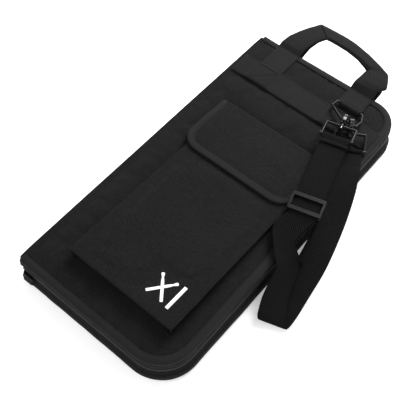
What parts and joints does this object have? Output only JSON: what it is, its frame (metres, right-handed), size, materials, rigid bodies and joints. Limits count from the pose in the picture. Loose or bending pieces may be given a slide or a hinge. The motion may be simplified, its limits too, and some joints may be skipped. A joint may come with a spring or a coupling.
{
  "type": "drum stick bag",
  "caption": "Flat padded drum stick bag that opens like a book on a side fold, with a zip on three sides, a flapped outer pocket, two carry handles and a clip-on shoulder strap.",
  "frame": {"origin": "centre of the back panel's outer face, on which the bag lies", "axes": "+Y along the bag towards the carry handles, +X towards the zipped long side, +Z out of the front panel"},
  "size_m": [0.31, 0.574, 0.0682],
  "materials": {
    "fabric": "matt fine weave",
    "binding": "matt ribbed tape",
    "foam": "matt closed-cell foam",
    "lining": "matt smooth weave",
    "zipper_tape": "matt twill tape",
    "zipper_coil": "satin nylon coil",
    "webbing": "satin woven ribs",
    "print": "matt ink",
    "hook_and_loop": "matt fuzzy pile",
    "slider_metal": "gloss black enamel",
    "plastic": "moulded, glossy"
  },
  "bodies": {
    "back_half": {"back_panel": "fabric", "back_padding": "foam", "back_lining": "lining", "back_gusset": "fabric", "back_binding": "binding", "zipper_tape_back": "zipper_tape", "zipper_coil_back": "zipper_coil", "back_handle_anchors": "webbing", "stick_pocket": "lining", "stick_pocket_binding": "binding", "zipper_end_tabs": "fabric"},
    "spine": {"spine_panel": "fabric", "spine_lining": "lining"},
    "front_half": {"front_panel": "fabric", "front_padding": "foam", "front_lining": "lining", "front_gusset": "fabric", "front_binding": "binding", "zipper_tape_front": "zipper_tape", "zipper_coil_front": "zipper_coil", "tool_pocket": "lining", "tool_pocket_binding": "binding", "front_handle_anchors": "webbing", "webbing_band": "webbing", "ring_keeper": "webbing", "front_pocket": "fabric", "pocket_loop_patch": "hook_and_loop", "emblem_print": "print"},
    "flap": {"pocket_flap": "fabric", "flap_binding": "binding", "flap_hook_patch": "hook_and_loop"},
    "slider_upper": {"slider_upper": "slider_metal"},
    "slider_lower": {"slider_lower": "slider_metal"},
    "pull_upper": {"pull_upper": "slider_metal"},
    "pull_lower": {"pull_lower": "slider_metal"},
    "front_handle": {"front_handle_loop": "webbing"},
    "back_handle": {"back_handle_loop": "webbing"},
    "ring": {"d_ring": "plastic"},
    "strap": {"strap_webbing": "webbing", "swivel_frame_1": "plastic", "swivel_frame_2": "plastic"},
    "hook_1": {"hook_1": "plastic"},
    "hook_2": {"hook_2": "plastic"},
    "gate_1": {"hook_gate_1": "plastic"},
    "gate_2": {"hook_gate_2": "plastic"},
    "tri_glide": {"tri_glide": "plastic"}
  },
  "joints": [
    {"name": "spine_fold", "type": "hinge", "parent": "back_half", "child": "spine", "pos_m": [-0.122, 0, 0], "axis": [0, -1, 0], "range_deg": [0, 90]},
    {"name": "cover_fold", "type": "hinge", "parent": "spine", "child": "front_half", "pos_m": [-0.122, 0, 0.046], "axis": [0, -1, 0], "range_deg": [0, 90]},
    {"name": "flap_open", "type": "hinge", "parent": "front_half", "child": "flap", "pos_m": [0, 0.112, 0.049], "axis": [-1, 0, 0], "range_deg": [0, 121]},
    {"name": "slider_upper_run", "type": "slide", "parent": "back_half", "child": "slider_upper", "axis": [0, 1, 0], "range_m": [0, 0.095]},
    {"name": "slider_lower_run", "type": "slide", "parent": "back_half", "child": "slider_lower", "axis": [0, -1, 0], "range_m": [0, 0.275]},
    {"name": "pull_upper_turn", "type": "hinge", "parent": "slider_upper", "child": "pull_upper", "pos_m": [0.1248, 0.106, 0.023], "axis": [0, 0, -1], "range_deg": [0, 150]},
    {"name": "pull_lower_turn", "type": "hinge", "parent": "slider_lower", "child": "pull_lower", "pos_m": [0.1248, 0.088, 0.023], "axis": [0, 0, 1], "range_deg": [0, 150]},
    {"name": "front_handle_swing", "type": "hinge", "parent": "front_half", "child": "front_handle", "pos_m": [0, 0.25, 0.0475], "axis": [1, 0, 0], "range_deg": [0, 90]},
    {"name": "back_handle_swing", "type": "hinge", "parent": "back_half", "child": "back_handle", "pos_m": [0, 0.25, 0], "axis": [-1, 0, 0], "range_deg": [0, 90]},
    {"name": "ring_lift", "type": "hinge", "parent": "front_half", "child": "ring", "pos_m": [0, 0.211, 0.052], "axis": [-1, 0, 0], "range_deg": [0, 45]},
    {"name": "strap_lift", "type": "hinge", "parent": "ring", "child": "strap", "pos_m": [0, 0.183, 0.0585], "axis": [-1, 0, 0], "range_deg": [0, 78]},
    {"name": "hook_1_swivel", "type": "hinge", "parent": "strap", "child": "hook_1", "pos_m": [0.0675, 0.183, 0.0585], "axis": [0.2714, -0.9467, 0.1736], "range_deg": [-12, 12]},
    {"name": "gate_1_open", "type": "hinge", "parent": "hook_1", "child": "gate_1", "pos_m": [0.06883, 0.17837, 0.06514], "axis": [0.9613, 0.2756, 0], "range_deg": [0, 25], "stiffness_Nm_per_rad": 0.01},
    {"name": "hook_2_swivel", "type": "hinge", "parent": "strap", "child": "hook_2", "pos_m": [0.0785, 0.183, 0.0585], "axis": [0.4881, -0.8455, -0.2164], "range_deg": [-12, 12]},
    {"name": "gate_2_open", "type": "hinge", "parent": "hook_2", "child": "gate_2", "pos_m": [0.082, 0.17694, 0.06279], "axis": [0.866, 0.5, 0], "range_deg": [0, 25], "stiffness_Nm_per_rad": 0.01},
    {"name": "tri_glide_run", "type": "slide", "parent": "strap", "child": "tri_glide", "axis": [-0.2754, 0.9606, 0.0384], "range_m": [0, 0.07]}
  ],
  "couplings": [
    {"joint": "cover_fold", "follows": "spine_fold", "ratio": 1},
    {"joint": "flap_open", "follows": "strap_lift", "ratio": 1.55}
  ]
}
